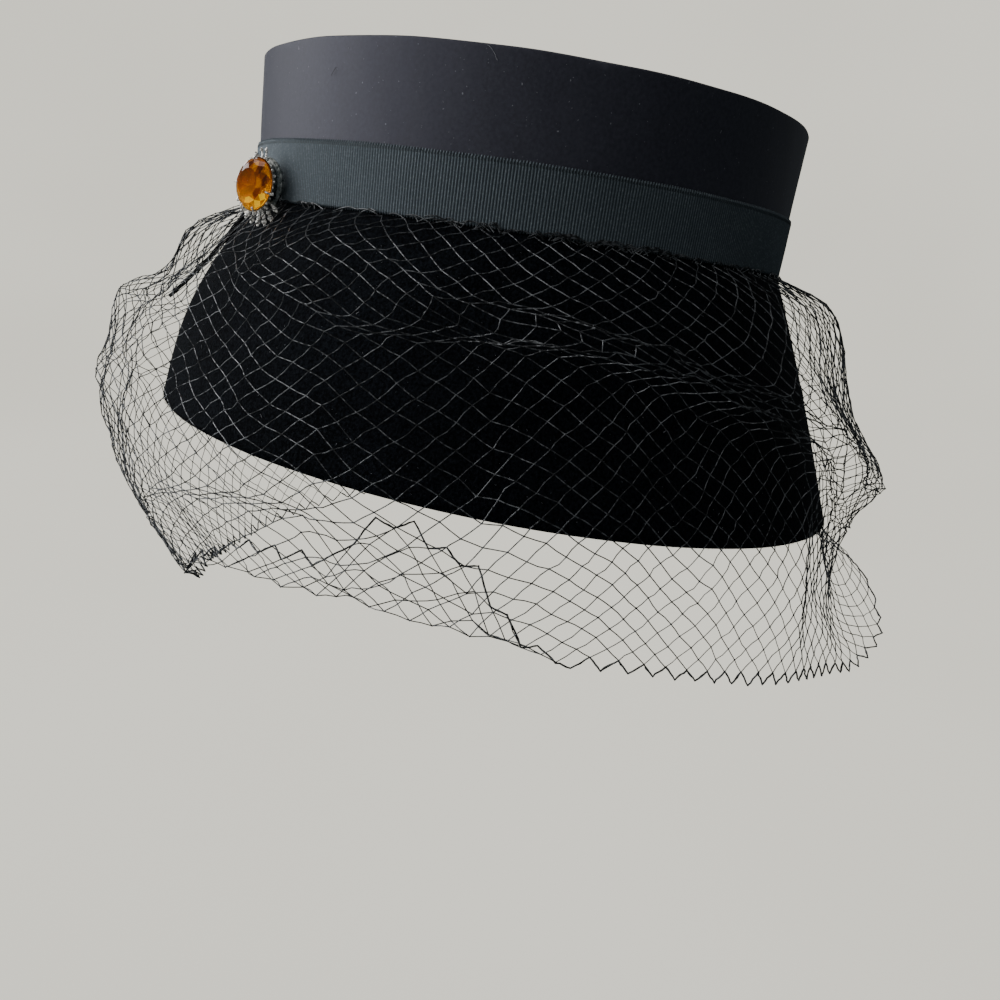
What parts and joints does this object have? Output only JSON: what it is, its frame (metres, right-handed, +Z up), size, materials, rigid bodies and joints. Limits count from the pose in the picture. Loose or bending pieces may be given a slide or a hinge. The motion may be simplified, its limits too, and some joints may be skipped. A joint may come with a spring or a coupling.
{
  "type": "pillbox hat",
  "caption": "Pillbox hat with a satin crown, a flared velvet skirt with a slanted rim, a ribbon band, a short gathered net veil and an oval faceted brooch.",
  "frame": {"origin": "on the crown's axis, level with the lower edge of the ribbon band, about where the top of the wearer's head comes", "axes": "+Z up the crown's axis, the front faces -Y, +X to the wearer's left, where the brooch is"},
  "size_m": [0.2808, 0.3196, 0.1992],
  "materials": {
    "satin": "smooth black satin with a soft sheen",
    "ribbon": "ribbed black grosgrain, matt",
    "velvet": "short-pile black velvet",
    "net": "thin black thread, slightly glossy",
    "setting": "bright silver-coloured metal",
    "stone": "faceted amber glass"
  },
  "bodies": {
    "root": {"crown_tip": "satin", "crown_side": "satin", "ribbon_band": "ribbon", "velvet_skirt": "velvet", "veil": "net", "veil_seam": "net", "brooch_setting": "setting", "amber_stone": "stone"}
  },
  "joints": []
}
